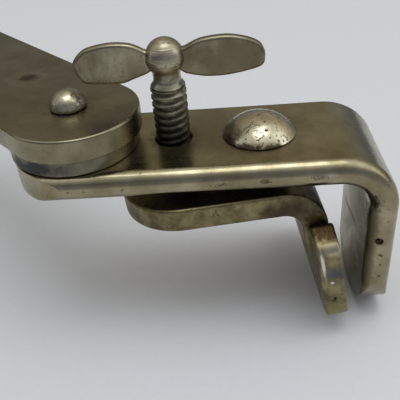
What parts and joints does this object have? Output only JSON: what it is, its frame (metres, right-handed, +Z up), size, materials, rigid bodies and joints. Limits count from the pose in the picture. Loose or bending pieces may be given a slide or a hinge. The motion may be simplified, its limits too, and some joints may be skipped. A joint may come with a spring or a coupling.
{
  "type": "lever-jaw hook clamp with swing arm",
  "caption": "Nickel-plated hook clamp: a wing screw rocks a padded lever jaw toward the fixed hook; a flat arm swings on a rivet at the other end.",
  "frame": {"origin": "on the fixed jaw's flat inner face, on the strap's centre line, 17 mm below the strap's top face", "axes": "+Z up along the wing screw, +X from the swing arm's pivot toward the hook, +Y across the strap away from the pictured side"},
  "size_m": [0.0867, 0.0577, 0.0424],
  "materials": {
    "aged_nickel": "worn nickel plate on steel, warm olive tone with brown specks",
    "dull_nickel": "dull nickel plate with fine scratches",
    "bright_nickel": "polished nickel dome with pitted brown patches",
    "screw_nickel": "nickel plate with dark grime in the thread",
    "grey_steel": "bare steel with a dark blue-grey oxide"
  },
  "bodies": {
    "strap": {"hook_strap": "aged_nickel", "arm_washer": "grey_steel", "pivot_rivet": "bright_nickel", "fulcrum_rivet": "bright_nickel"},
    "arm": {"swing_arm": "dull_nickel"},
    "swivel": {"fulcrum_washer": "grey_steel"},
    "lever": {"lever_jaw": "aged_nickel"},
    "feed": {"screw_tip_button": "grey_steel"},
    "screw": {"screw_spindle": "screw_nickel", "thumb_wings": "dull_nickel"}
  },
  "joints": [
    {"name": "arm_swing", "type": "hinge", "parent": "strap", "child": "arm", "pos_m": [-0.03935, 0, 0.02093], "axis": [0, 0, 1], "range_deg": [-70.5, 162.4]},
    {"name": "lever_swivel", "type": "hinge", "parent": "strap", "child": "swivel", "pos_m": [-0.014, 0, 0.00998], "axis": [0, 0, 1], "range_deg": [-8.5, 0.5]},
    {"name": "lever_rock", "type": "hinge", "parent": "swivel", "child": "lever", "pos_m": [-0.014, 0, 0.00998], "axis": [-0.0698, 0.9976, 0], "range_deg": [-8.21, 7.01]},
    {"name": "screw_feed", "type": "slide", "parent": "strap", "child": "feed", "axis": [0, 0, 1], "range_m": [-0.00168, 0.00144]},
    {"name": "screw_turn", "type": "hinge", "parent": "feed", "child": "screw", "pos_m": [-0.02575, 0, 0.025], "axis": [0, 0, 1], "range_deg": [-572.5, 488.5]}
  ],
  "couplings": [
    {"joint": "screw_turn", "follows": "screw_feed", "rad_per_m": 5936.8},
    {"joint": "lever_rock", "follows": "screw_feed", "rad_per_m": 85.1}
  ]
}
